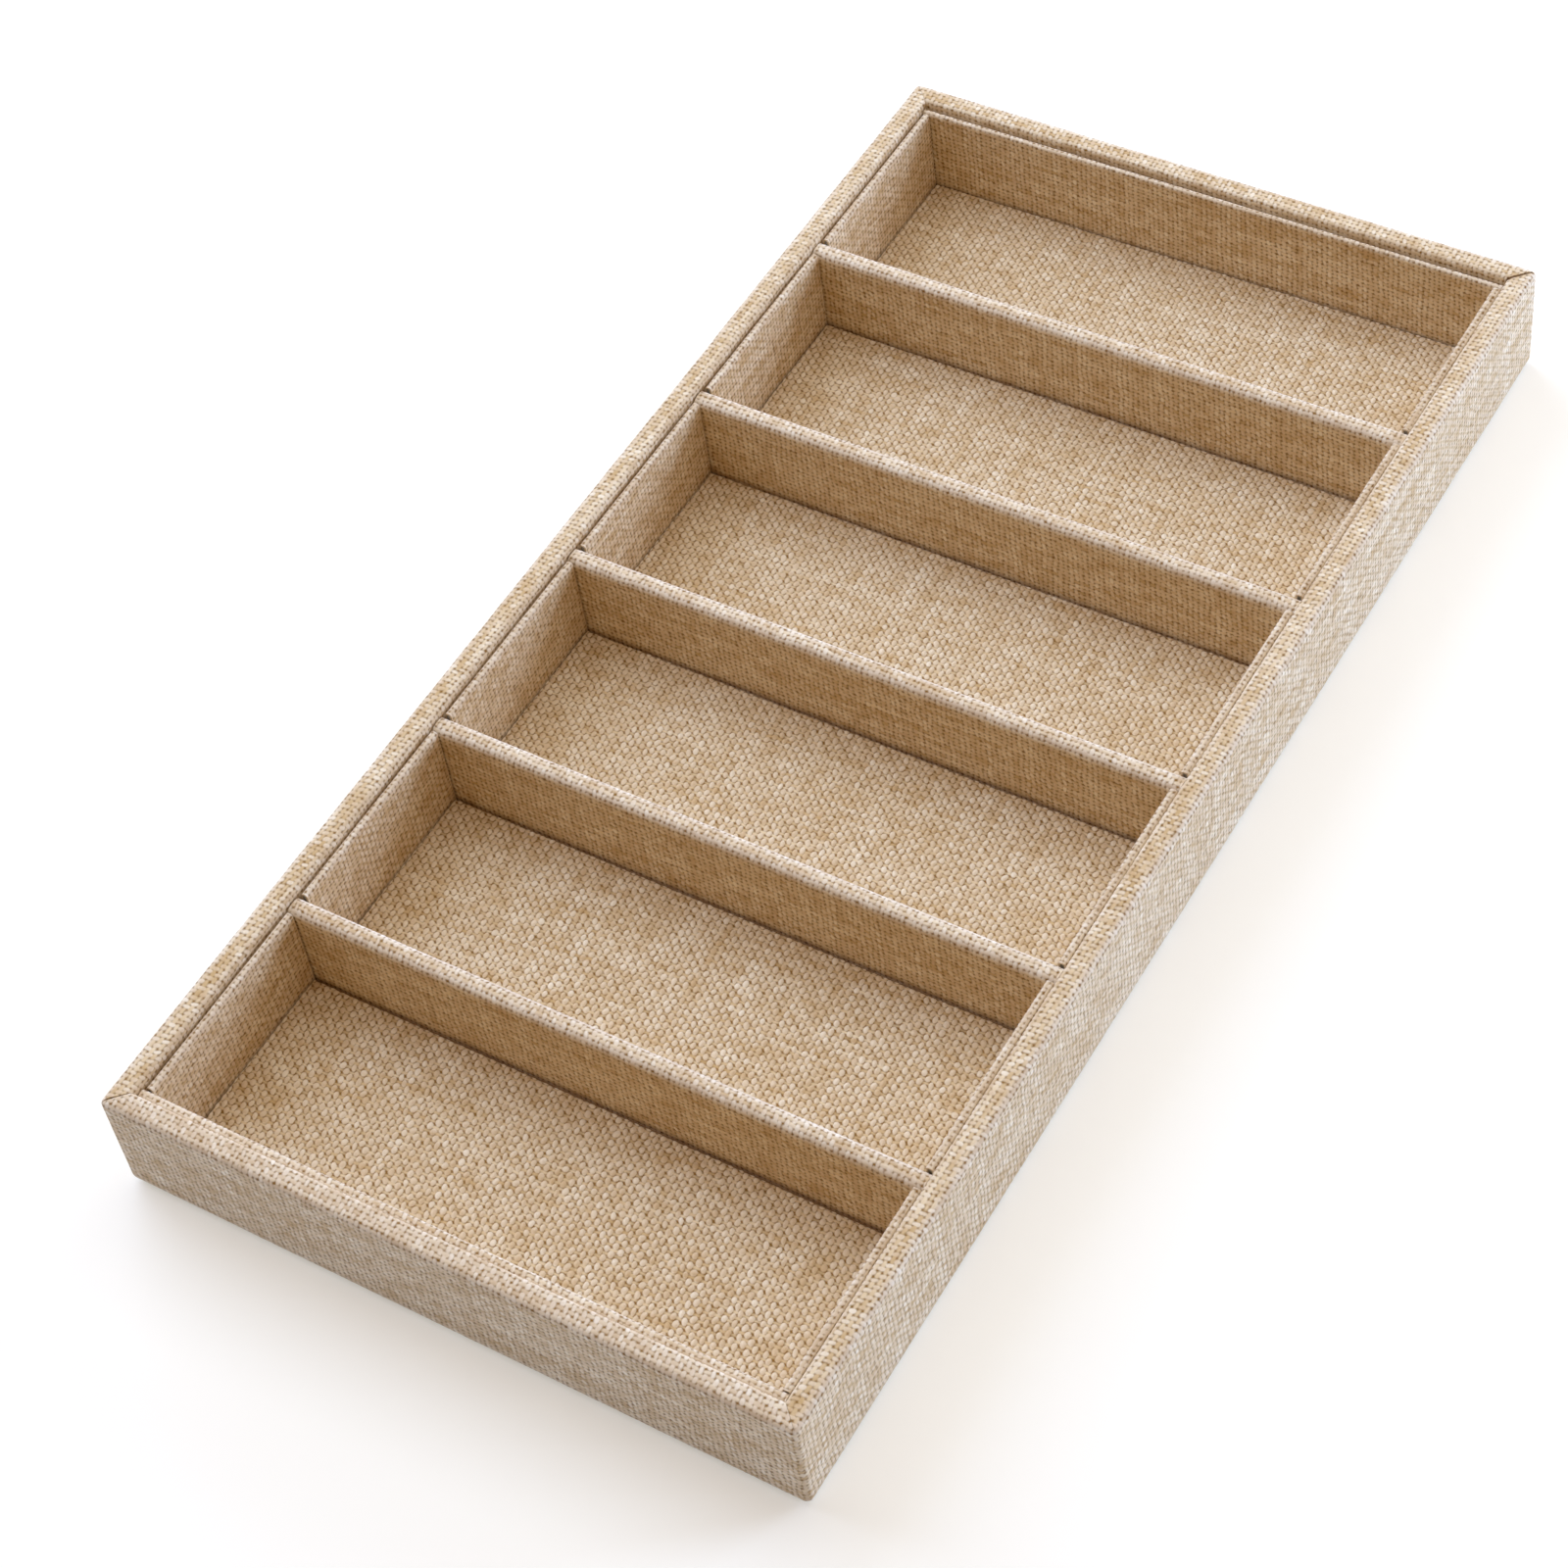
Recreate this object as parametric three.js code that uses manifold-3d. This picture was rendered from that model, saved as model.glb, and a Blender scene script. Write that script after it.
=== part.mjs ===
// Sunglass tray: a shallow open box with a row of equal compartments.
// Boards and cards are cut to size, wrapped in linen-look cloth and glued together.
// Millimetres, +Z up. The origin is the middle of the underside, and +Y runs along the tray.

import * as THREE from 'three';
import { mergeVertices } from 'three/addons/utils/BufferGeometryUtils.js';
import Module from 'manifold-3d';

const wasm = await Module();
wasm.setup();

// Overall size of the finished tray
const TRAY_LENGTH = 350;
const TRAY_WIDTH = 170;
const TRAY_HEIGHT = 30;
const COMPARTMENTS = 6;

// Thickness of the sheet goods, and of the film of glue between two of them
const WALL_BOARD = 4.5;
const BASE_BOARD = 2.5;
const DIVIDER_BOARD = 3.6;
const FLOOR_CARD = 1.2;
const LINER_CARD = 0.8;
const CLOTH = 0.5;
const BACKING = 0.5;
const GLUE = 0.1;

// Eased edges of the boards and cards; the cloth follows them at its own thickness
const WALL_EDGE_RADIUS = 0.8;
const WALL_FOOT_RADIUS = 1.5;
const WALL_CORNER_RADIUS = 1.0;
const DIVIDER_EDGE_RADIUS = 1.2;
const LINER_EDGE_RADIUS = 0.3;
const FLOOR_EDGE_RADIUS = 0.3;
const FOLD_RADIUS = 0.25;
const BACKING_CORNER_RADIUS = 3;

// How far the cloth is turned over: under the tray, down inside the rim, down behind a liner
const UNDER_TURN = 16;
const RIM_TURN = 12;
const LINER_TURN = 10;

// How far the inner tops lie below the rim, and the backing inside the outer face
const LINER_DROP = 1.5;
const DIVIDER_DROP = 1.8;
const BACKING_INSET = 4;

// Clearances left for glue and for pushing the wrapped pieces into place
const MITRE_GAP = 0.3;
const BASE_FIT = 0.3;
const LINER_GAP = 0.3;
const LINER_FIT = 0.4;
const DIVIDER_FIT = 0.3;
const FLOOR_FIT = 0.3;
const FLOOR_GAP = 0.8;

// Facets in a quarter turn, upright corners and folded edges
const CORNER_STEPS = 3;
const EDGE_STEPS = 3;

// The largest eased edge that a sheet can take, as a share of its thickness
const LARGEST_EASE = 0.45;

// How far a cutting blade reaches past what it cuts
const BLADE_MARGIN = 1;

// The layers, from the underside up and from the outer face in
const skin = GLUE + CLOTH;
const clothFoot = BACKING + GLUE;
const boardFoot = clothFoot + skin;
const boardTop = TRAY_HEIGHT - skin;
const boardInset = skin + WALL_BOARD;
const rimInset = boardInset + skin;
const seat = boardFoot + BASE_BOARD + GLUE;

// The room inside the walls, and its division into compartments
const linerThickness = LINER_CARD + 2 * skin;
const dividerThickness = DIVIDER_BOARD + 2 * skin;
const linerBackInset = rimInset + LINER_GAP;
const linerFaceInset = linerBackInset + linerThickness;
const linedLength = TRAY_LENGTH - 2 * linerFaceInset;
const linedWidth = TRAY_WIDTH - 2 * linerFaceInset;
const compartmentLength = (linedLength - (COMPARTMENTS - 1) * dividerThickness) / COMPARTMENTS;
const compartmentPitch = compartmentLength + dividerThickness;
const dividerLength = TRAY_WIDTH - 2 * (rimInset + DIVIDER_FIT);

const linen = new THREE.MeshStandardMaterial({ color: 0xcdb28c, roughness: 0.95, metalness: 0 });
const fibreboard = new THREE.MeshStandardMaterial({ color: 0xa98860, roughness: 0.85, metalness: 0 });
const greyCard = new THREE.MeshStandardMaterial({ color: 0x9b958a, roughness: 0.9, metalness: 0 });
const backingPaper = new THREE.MeshStandardMaterial({ color: 0xb39a78, roughness: 0.9, metalness: 0 });

const tray = new THREE.Group();

function addPiece(parent, name, geometry, material) {
  const piece = new THREE.Mesh(geometry, material);
  piece.name = name;
  parent.add(piece);
  return piece;
}

// A rectangle with rounded corners, counterclockwise from above.
// Every outline has the same number of points, so that two of them can be joined by quads.
function roundedRectangle(width, length, radius) {
  const corner = Math.max(radius, FOLD_RADIUS);
  const signs = [[1, 1], [-1, 1], [-1, -1], [1, -1]];
  return signs.flatMap(([signX, signY], quarter) =>
    Array.from({ length: CORNER_STEPS + 1 }, (_, step) => {
      const angle = (quarter + step / CORNER_STEPS) * Math.PI / 2;
      const x = signX * (width / 2 - corner) + corner * Math.cos(angle);
      const y = signY * (length / 2 - corner) + corner * Math.sin(angle);
      return new THREE.Vector2(x, y);
    }));
}

// Carries a section round a rounded rectangle. A section point is (inset from the side, height).
// A closed section makes a ring; an open one makes a slab or pan with its two end outlines filled.
function carriedRound(plan, section, closed) {
  const outlines = section.map((point) =>
    roundedRectangle(plan.width - 2 * point.x, plan.length - 2 * point.x, plan.radius - point.x));
  const count = outlines[0].length;
  const positions = outlines.flatMap((outline, row) =>
    outline.flatMap((point) => [point.x, point.y, section[row].y]));
  const faces = [];
  const bands = closed ? section.length : section.length - 1;
  for (let row = 0; row < bands; row += 1) {
    const here = row * count;
    const above = ((row + 1) % section.length) * count;
    for (let i = 0; i < count; i += 1) {
      const j = (i + 1) % count;
      faces.push(here + i, here + j, above + j, here + i, above + j, above + i);
    }
  }
  if (!closed) {
    const last = (section.length - 1) * count;
    for (let i = 1; i < count - 1; i += 1) {
      faces.push(0, i + 1, i, last, last + i, last + i + 1);
    }
  }
  const geometry = new THREE.BufferGeometry();
  geometry.setAttribute('position', new THREE.Float32BufferAttribute(positions, 3));
  geometry.setIndex(faces);
  geometry.computeVertexNormals();
  return geometry;
}

// Points along a rounded fold in a section, between two angles in degrees.
function fold(across, height, radius, from, to) {
  return Array.from({ length: EDGE_STEPS + 1 }, (_, step) => {
    const angle = THREE.MathUtils.degToRad(from + (to - from) * step / EDGE_STEPS);
    return new THREE.Vector2(across + radius * Math.cos(angle), height + radius * Math.sin(angle));
  });
}

// An eased edge, held to what the sheet's thickness allows.
function easedEdge(radius, thickness) {
  return Math.min(radius, LARGEST_EASE * thickness);
}

// The path over the top of an upright sheet with eased edges, from its back foot to its front foot.
// The path runs a given distance outside the sheet's own faces.
function overTheTop(sheet, offset, backFoot, frontFoot) {
  const radius = sheet.edgeRadius + offset;
  const edgeHeight = sheet.top - sheet.edgeRadius;
  return [
    new THREE.Vector2(sheet.back - offset, backFoot),
    ...fold(sheet.back + sheet.edgeRadius, edgeHeight, radius, 180, 90),
    ...fold(sheet.front - sheet.edgeRadius, edgeHeight, radius, 90, 0),
    new THREE.Vector2(sheet.front + offset, frontFoot),
  ];
}

// The cloth over an upright sheet: one face on the glue, the other a cloth's thickness further out.
function wrapSection(sheet, backFoot, frontFoot) {
  const outside = overTheTop(sheet, skin, backFoot, frontFoot);
  const inside = overTheTop(sheet, GLUE, backFoot, frontFoot);
  return [...outside, ...inside.reverse()];
}

// Draws a section (across, height) out along X, centred on the origin.
function drawnAlongX(section, length) {
  const shape = new THREE.Shape(section);
  const geometry = new THREE.ExtrudeGeometry(shape, { depth: length, bevelEnabled: false });
  geometry.translate(0, 0, -length / 2);
  const acrossAxis = new THREE.Vector3(0, 1, 0);
  const heightAxis = new THREE.Vector3(0, 0, 1);
  const lengthAxis = new THREE.Vector3(1, 0, 0);
  geometry.applyMatrix4(new THREE.Matrix4().makeBasis(acrossAxis, heightAxis, lengthAxis));
  return geometry;
}

function toSolid(geometry) {
  const bare = geometry.clone();
  bare.deleteAttribute('normal');
  bare.deleteAttribute('uv');
  const merged = mergeVertices(bare);
  return new wasm.Manifold(new wasm.Mesh({
    numProp: 3,
    vertProperties: Float32Array.from(merged.attributes.position.array),
    triVerts: Uint32Array.from(merged.index.array),
  }));
}

function toGeometry(solid) {
  const mesh = solid.getMesh();
  const geometry = new THREE.BufferGeometry();
  geometry.setAttribute('position', new THREE.BufferAttribute(mesh.vertProperties, 3));
  geometry.setIndex(new THREE.BufferAttribute(mesh.triVerts, 1));
  geometry.computeVertexNormals();
  return geometry;
}

// Cuts a thin slit along the mitre line of each corner, between two insets and two heights.
function cutMitres(solid, fromInset, toInset, low, high) {
  const middleInset = (fromInset + toInset) / 2;
  const reach = (toInset - fromInset) * Math.SQRT2;
  let result = solid;
  for (const [signX, signY] of [[1, 1], [-1, 1], [-1, -1], [1, -1]]) {
    const blade = new THREE.BoxGeometry(reach, MITRE_GAP, high - low);
    blade.rotateZ(Math.atan2(signY, signX));
    const x = signX * (TRAY_WIDTH / 2 - middleInset);
    const y = signY * (TRAY_LENGTH / 2 - middleInset);
    blade.translate(x, y, (low + high) / 2);
    result = result.subtract(toSolid(blade));
  }
  return result;
}

const trayPlan = { width: TRAY_WIDTH, length: TRAY_LENGTH, radius: WALL_CORNER_RADIUS + skin };

// Walls: one moulded section carried round the tray and parted by mitres at the four corners.
const wallFootFold = { across: skin + WALL_FOOT_RADIUS, height: boardFoot + WALL_FOOT_RADIUS };
const wallSheet = {
  back: skin,
  front: boardInset,
  top: boardTop,
  edgeRadius: easedEdge(WALL_EDGE_RADIUS, WALL_BOARD),
};

// The path round a wall's outer foot and over its top; the fold stands for the square back foot.
function wallPath(offset, innerFoot) {
  const foot = fold(wallFootFold.across, wallFootFold.height, WALL_FOOT_RADIUS + offset, 270, 180);
  const top = overTheTop(wallSheet, offset, wallFootFold.height, innerFoot).slice(1);
  return [...foot, ...top];
}

function makeWallBoards() {
  const frame = toSolid(carriedRound(trayPlan, wallPath(0, boardFoot), true));
  const past = boardInset + BLADE_MARGIN;
  const boards = cutMitres(frame, -BLADE_MARGIN, past, 0, TRAY_HEIGHT).decompose();
  for (const board of boards) {
    const { min, max } = board.boundingBox();
    const x = (min[0] + max[0]) / 2;
    const y = (min[1] + max[1]) / 2;
    const isEnd = max[0] - min[0] > max[1] - min[1];
    const endName = y < 0 ? 'front' : 'rear';
    const sideName = x < 0 ? 'left' : 'right';
    addPiece(tray, `${isEnd ? endName : sideName}_wall_board`, toGeometry(board), fibreboard);
  }
}

// Frame cloth: one strip round all four walls, turned under the tray and down inside the rim.
// It runs unbroken round the upright corners, and is slit along the mitres where it turns over.
function makeFrameCloth() {
  const innerFoot = TRAY_HEIGHT - RIM_TURN;
  const outside = [new THREE.Vector2(UNDER_TURN, boardFoot - skin), ...wallPath(skin, innerFoot)];
  const inside = [new THREE.Vector2(UNDER_TURN, boardFoot - GLUE), ...wallPath(GLUE, innerFoot)];
  let cloth = toSolid(carriedRound(trayPlan, [...outside, ...inside.reverse()], true));
  const rimEdge = boardTop - wallSheet.edgeRadius;
  const aboveRim = TRAY_HEIGHT + BLADE_MARGIN;
  const belowTurn = innerFoot - BLADE_MARGIN;
  cloth = cutMitres(cloth, -BLADE_MARGIN, boardInset, rimEdge, aboveRim);
  cloth = cutMitres(cloth, boardInset - wallSheet.edgeRadius, rimInset + BLADE_MARGIN, belowTurn, aboveRim);
  cloth = cutMitres(cloth, wallFootFold.across, UNDER_TURN + BLADE_MARGIN, 0, boardFoot);
  addPiece(tray, 'frame_cloth', toGeometry(cloth), linen);
}

// Base: a board inside the walls, with a plain backing sheet over the turned-under cloth.
function makeBase() {
  const basePlan = { width: TRAY_WIDTH, length: TRAY_LENGTH, radius: 0 };
  const baseInset = boardInset + BASE_FIT;
  const baseSection = [
    new THREE.Vector2(baseInset, boardFoot),
    new THREE.Vector2(baseInset, boardFoot + BASE_BOARD),
  ];
  addPiece(tray, 'base_board', carriedRound(basePlan, baseSection, false), fibreboard);

  const backingPlan = {
    width: TRAY_WIDTH - 2 * BACKING_INSET,
    length: TRAY_LENGTH - 2 * BACKING_INSET,
    radius: BACKING_CORNER_RADIUS,
  };
  const backingSection = [new THREE.Vector2(0, 0), new THREE.Vector2(0, BACKING)];
  addPiece(tray, 'bottom_cover', carriedRound(backingPlan, backingSection, false), backingPaper);
}

// Dividers: boards that stand on the base and run from wall to wall, with cloth over both faces.
function makeDividers() {
  const sheet = {
    back: -DIVIDER_BOARD / 2,
    front: DIVIDER_BOARD / 2,
    top: TRAY_HEIGHT - DIVIDER_DROP - skin,
    edgeRadius: easedEdge(DIVIDER_EDGE_RADIUS, DIVIDER_BOARD),
  };
  const boardSection = overTheTop(sheet, 0, seat, seat);
  const clothSection = wrapSection(sheet, seat, seat);
  for (let i = 1; i < COMPARTMENTS; i += 1) {
    const divider = new THREE.Group();
    divider.position.y = (i - COMPARTMENTS / 2) * compartmentPitch;
    addPiece(divider, `divider_${i}_board`, drawnAlongX(boardSection, dividerLength), fibreboard);
    addPiece(divider, `divider_${i}_cloth`, drawnAlongX(clothSection, dividerLength), linen);
    tray.add(divider);
  }
}

// Liners: thin cards on edge against the walls, with cloth over the face, the top and part of the back.
const linerSheet = {
  back: skin,
  front: skin + LINER_CARD,
  top: TRAY_HEIGHT - LINER_DROP - skin,
  edgeRadius: easedEdge(LINER_EDGE_RADIUS, LINER_CARD),
};

function addLiner(name, length, x, y, turn) {
  const backFoot = TRAY_HEIGHT - LINER_DROP - LINER_TURN;
  const liner = new THREE.Group();
  liner.position.set(x, y, 0);
  liner.rotation.z = turn;
  addPiece(liner, `${name}_card`, drawnAlongX(overTheTop(linerSheet, 0, seat, seat), length), greyCard);
  addPiece(liner, `${name}_cloth`, drawnAlongX(wrapSection(linerSheet, backFoot, seat), length), linen);
  tray.add(liner);
}

function makeLiners() {
  const endLength = TRAY_WIDTH - 2 * linerBackInset;
  const endY = TRAY_LENGTH / 2 - linerBackInset;
  addLiner('front_liner', endLength, 0, -endY, 0);
  addLiner('rear_liner', endLength, 0, endY, Math.PI);

  const sideLength = compartmentLength - 2 * LINER_FIT;
  const sideX = TRAY_WIDTH / 2 - linerBackInset;
  for (let i = 1; i <= COMPARTMENTS; i += 1) {
    const y = (i - (COMPARTMENTS + 1) / 2) * compartmentPitch;
    addLiner(`left_liner_${i}`, sideLength, -sideX, y, -Math.PI / 2);
    addLiner(`right_liner_${i}`, sideLength, sideX, y, Math.PI / 2);
  }
}

// Floors: a card in each compartment with cloth over its top and down its four edges.
// A gap shows along each divider, while the cloth fits closely against the liners.
function makeFloors() {
  const width = linedWidth - 2 * FLOOR_FIT;
  const cardEdge = easedEdge(FLOOR_EDGE_RADIUS, FLOOR_CARD);
  const radius = cardEdge + skin;
  const edgeHeight = seat + FLOOR_CARD - cardEdge;
  const cardSection = [
    new THREE.Vector2(skin, seat),
    ...fold(radius, edgeHeight, cardEdge, 180, 90),
  ];
  const clothSection = [
    ...fold(radius, edgeHeight, cardEdge + GLUE, 90, 180),
    new THREE.Vector2(CLOTH, seat),
    new THREE.Vector2(0, seat),
    ...fold(radius, edgeHeight, radius, 180, 90),
  ];
  for (let i = 1; i <= COMPARTMENTS; i += 1) {
    const frontGap = i === 1 ? FLOOR_FIT : FLOOR_GAP;
    const rearGap = i === COMPARTMENTS ? FLOOR_FIT : FLOOR_GAP;
    const plan = { width, length: compartmentLength - frontGap - rearGap, radius };
    const floor = new THREE.Group();
    floor.position.y = (i - (COMPARTMENTS + 1) / 2) * compartmentPitch + (frontGap - rearGap) / 2;
    addPiece(floor, `floor_${i}_card`, carriedRound(plan, cardSection, false), greyCard);
    addPiece(floor, `floor_${i}_cloth`, carriedRound(plan, clothSection, false), linen);
    tray.add(floor);
  }
}

makeBase();
makeWallBoards();
makeFrameCloth();
makeDividers();
makeLiners();
makeFloors();

export default tray;
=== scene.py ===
# A sunglass tray of wrapped board: raw board and card inside, linen-look cloth with woven relief outside.

import bpy
import numpy as np
from mathutils import Matrix, Vector


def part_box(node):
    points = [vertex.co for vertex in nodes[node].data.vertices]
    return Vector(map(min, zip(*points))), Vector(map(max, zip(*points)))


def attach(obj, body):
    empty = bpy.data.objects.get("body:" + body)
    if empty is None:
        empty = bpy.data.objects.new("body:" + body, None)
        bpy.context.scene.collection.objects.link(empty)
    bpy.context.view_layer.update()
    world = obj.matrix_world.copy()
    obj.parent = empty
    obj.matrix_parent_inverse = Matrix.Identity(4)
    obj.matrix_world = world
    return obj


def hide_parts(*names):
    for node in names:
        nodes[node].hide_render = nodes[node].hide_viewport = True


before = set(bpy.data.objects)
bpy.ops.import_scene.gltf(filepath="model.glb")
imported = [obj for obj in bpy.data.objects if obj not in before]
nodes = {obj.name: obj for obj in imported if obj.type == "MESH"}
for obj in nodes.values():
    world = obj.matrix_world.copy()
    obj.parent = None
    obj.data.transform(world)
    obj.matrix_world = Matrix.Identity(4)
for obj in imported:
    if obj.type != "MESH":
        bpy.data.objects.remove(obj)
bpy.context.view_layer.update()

# Walls and base: strips of medium-density fibreboard, sawn, mitred at the corners and glued.
# The pressed wood fibre is warm brown and felted, and shows only down the open mitre seams.

MM = 0.001
FIBRE_MM = 0.7
BOARD_CLOUD_MM = 9
FELT_MM = 0.1


def srgb(code):
    """Turns an sRGB hex colour to linear, with full alpha: the darkest values are divided by 12.92,
    and the others are shifted, scaled and raised to the power of 2.4."""
    value = np.array(list(bytes.fromhex(code[1:]))) / 255
    linear = np.where(value <= 0.04045, value / 12.92, ((value + 0.055) / 1.055) ** 2.4)
    return (*linear.tolist(), 1.0)


def blank_material(name):
    """An empty node material, and its tree."""
    material = bpy.data.materials.new(name)
    material.use_nodes = True
    material.node_tree.nodes.clear()
    return material, material.node_tree


def add(tree, kind, *inputs, **settings):
    """Adds a shader node with its settings. Inputs fill its sockets in order, or by name from a dict.
    An input is a value, a socket to link from, or a node, whose first output in use is linked."""
    node = tree.nodes.new("ShaderNode" + kind)
    for name, value in settings.items():
        setattr(node, name, value)
    by_name = inputs and isinstance(inputs[0], dict)
    for name, value in (inputs[0] if by_name else dict(enumerate(inputs))).items():
        if isinstance(value, bpy.types.Node):
            value = next(socket for socket in value.outputs if socket.enabled)
        if isinstance(value, bpy.types.NodeSocket):
            tree.links.new(value, node.inputs[name])
        else:
            node.inputs[name].default_value = value
    return node


def fibreboard_material():
    """Pressed wood fibre: fine flecks over slow clouds of brown, matt, with a felted bump."""
    material, tree = blank_material("raw_fibreboard")
    place = add(tree, "TexCoord").outputs["Object"]
    fleck = add(tree, "TexNoise", {"Vector": place, "Scale": 1 / (FIBRE_MM * MM), "Detail": 3.0})
    cloud = add(tree, "TexNoise", {"Vector": place, "Scale": 1 / (BOARD_CLOUD_MM * MM)})
    brown = add(tree, "Mix", {0: fleck, 6: srgb("#8A6239"), 7: srgb("#BE9464")}, data_type="RGBA")
    tint = add(tree, "Mix", {0: cloud, 6: brown, 7: srgb("#A07A4E")}, data_type="RGBA")
    felt = add(tree, "Bump", {"Height": fleck, "Strength": 0.4, "Distance": FELT_MM * MM})
    shader = add(tree, "BsdfPrincipled", {"Base Color": tint, "Roughness": 0.88, "Normal": felt})
    add(tree, "OutputMaterial", {"Surface": shader})
    return material


fibreboard = fibreboard_material()
for name in ("base_board", "front_wall_board", "rear_wall_board", "left_wall_board", "right_wall_board"):
    nodes[name].material_slots[0].material = fibreboard

# Bottom cover: one sheet of stout backing paper glued over the turned-under edges of the cloth.
# It is plain and matt, with the faint cloudy formation and the short fibres of uncoated paper.

PAPER_FIBRE_MM = 0.9
PAPER_FIBRE_DRAWN = 0.25
PAPER_CLOUD_MM = 14
PAPER_TOOTH_MM = 0.05


def paper_material():
    """Uncoated paper: slow clouds of pulp with fine fibres over them, and almost no shine."""
    material, tree = blank_material("uncoated_backing_paper")
    place = add(tree, "TexCoord").outputs["Object"]
    cloud = add(tree, "TexNoise", {"Vector": place, "Scale": 1 / (PAPER_CLOUD_MM * MM), "Detail": 4.0})
    drawn = add(tree, "Mapping", {"Vector": place, "Scale": (1.0, PAPER_FIBRE_DRAWN, 1.0)})
    fibre = add(tree, "TexNoise", {"Vector": drawn, "Scale": 1 / (PAPER_FIBRE_MM * MM), "Detail": 2.0})
    pulp = add(tree, "Mix", {0: cloud, 6: srgb("#A98E68"), 7: srgb("#C3A882")}, data_type="RGBA")
    tint = add(tree, "Mix", {0: fibre, 6: pulp, 7: srgb("#B89C74")}, data_type="RGBA")
    tooth = add(tree, "Bump", {"Height": fibre, "Strength": 0.25, "Distance": PAPER_TOOTH_MM * MM})
    shader = add(tree, "BsdfPrincipled", {"Base Color": tint, "Roughness": 0.92, "Normal": tooth})
    add(tree, "OutputMaterial", {"Surface": shader})
    return material


nodes["bottom_cover"].material_slots[0].material = paper_material()

# Frame cloth: one long strip of plain-weave linen-look cloth glued round the four walls.
# It is turned under the tray and over the rim, and slit along the mitres where it turns.

# The threads, and how they wander and swell.
THREAD_ACROSS_MM = 1.35
THREAD_ALONG_MM = 1.2
CLOTH_MM = 0.5
THREAD_FORM = 1.4
CROSSING_GAIN = 2.5
DRIFT_MM = 18
DRIFT_THREADS = 0.16
JOSTLE_MM = 1.6
JOSTLE_THREADS = 0.14
DRIFT_WAVES = 6
SLUB_LANES = 1024
SLUB_TURNS = (0.25, 1.1)
SLUB_SHARES = (0.14, 0.12)

# The change of tone along and between threads, the brown painted shade in the gaps, and the paler paint at
# folds, for rubbing and as painted highlight.
STREAK_MM = 60
SLUB_MM = 10
LANE_CHANGE = 0.8
SLUB_TONE_SHARE = 0.55
SLUB_TONE_OFFSET = (0.0, 0.0, 7.5)
MOTTLE_MM = 4.5
FLECK_MM = 1.6875
WEFT_TONE_SHARE = 0.4
# Folds are painted paler: partly rubbing, partly a painted highlight.
RUBBED_AND_HIGHLIGHT_PALE_SHARE = 0.4
WEAR_FLATTENS = 0.2
LAY_SOFTNESS = 0.25
GAP_SHADE_SOFTNESS = 0.1

# A weave's relief is in millimetres. Shares of it follow: the first set's lift and crimp, the second
# set's level and dip, and the twist. Then bump, the painted shade in the gaps, mottle, the flecks that make
# that shade patchy, and half its range of tones.
PRESSED = {
    "relief": 0.08, "lift": 0.0, "crimp": 0.45, "level": 1.0, "dip": 0.45, "twist": 0.06,
    "bump": 0.45, "open": 0.95, "mottle": 0.5, "fleck": 2.2, "tones": 0.15,
}

# The strip's bends, its mitres, its turned edges, and how pale its foot, rim and inner edge are painted, for
# rubbing and as painted highlight.
SHARP_ANGLE = np.radians(72)
ARC_STEPS = 24
NORMAL_REACH_MM = 0.02
FRAME_SEED = 1
FRAME_SAMPLES = 2
FOOT_RADIUS_MM = 2.1
RIM_RADIUS_MM = 1.4
INNER_RADIUS_MM = 1.0
CORNER_RADIUS_MM = 1.6
TIGHT_RADIUS_MM = 0.25
MITRE_REACH_MM = 14
MITRE_TAPER_MM = 3
MITRE_RISE_MM = 1.5
MITRE_OPEN_MM = [(0.10, 0.55), (0.06, 0.06), (0.75, 0.65), (0.08, 0.08)]
UNDER_TURN_MM = 16
RIM_TURN_MM = 12
FOLD_WEAR_AND_HIGHLIGHT_MM = 0.9
FRAME_RUBBED_AND_HIGHLIT = (1.0, 0.8, 0.4)
# The front rim's top is painted paler still, as a painted highlight.
FRONT_RIM_PAINTED_HIGHLIGHT = 0.5
RIM_PINCH_MM = 0.12


def box_mm(node):
    """A node's lowest and highest corners, in millimetres."""
    return [np.array(corner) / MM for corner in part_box(node)]


def bent_line(corners, radii):
    """A line with square corners rounded: each arc turns about the point one radius inside both legs.
    Gives its points and, for each corner, how far along the line the middle of its arc is."""
    corners = np.asarray(corners, float)
    legs = np.diff(corners, axis=0)
    legs /= np.linalg.norm(legs, axis=1, keepdims=True)
    turn = np.linspace(0, np.pi / 2, ARC_STEPS + 1)[:, None]
    parts = [corners[:1]]
    for corner, before, after, radius in zip(corners[1:-1], legs, legs[1:], radii):
        centre = corner + radius * (after - before)
        parts.append(centre + radius * (before * np.sin(turn) - after * np.cos(turn)))
    line = np.concatenate([*parts, corners[-1:]])
    folds = 1 + ARC_STEPS // 2 + (ARC_STEPS + 1) * np.arange(len(radii))
    return line, travelled(line)[folds]


def travelled(line):
    """The distance along a line to each of its points: the running sum of the lengths of its steps."""
    return np.concatenate([[0], np.cumsum(np.linalg.norm(np.diff(line, axis=0), axis=1))])


def along_line(line, at):
    """Points at distances along a line, and its outward normals: the way it runs, turned left."""
    length = travelled(line)
    point = np.stack([np.interp(at, length, line[:, i]) for i in range(2)], -1)
    ahead = np.stack([np.interp(at + NORMAL_REACH_MM, length, line[:, i]) for i in range(2)], -1)
    behind = np.stack([np.interp(at - NORMAL_REACH_MM, length, line[:, i]) for i in range(2)], -1)
    way = ahead - behind
    way /= np.linalg.norm(way, axis=-1, keepdims=True)
    return point, np.stack([-way[:, 1], way[:, 0]], -1)


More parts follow.
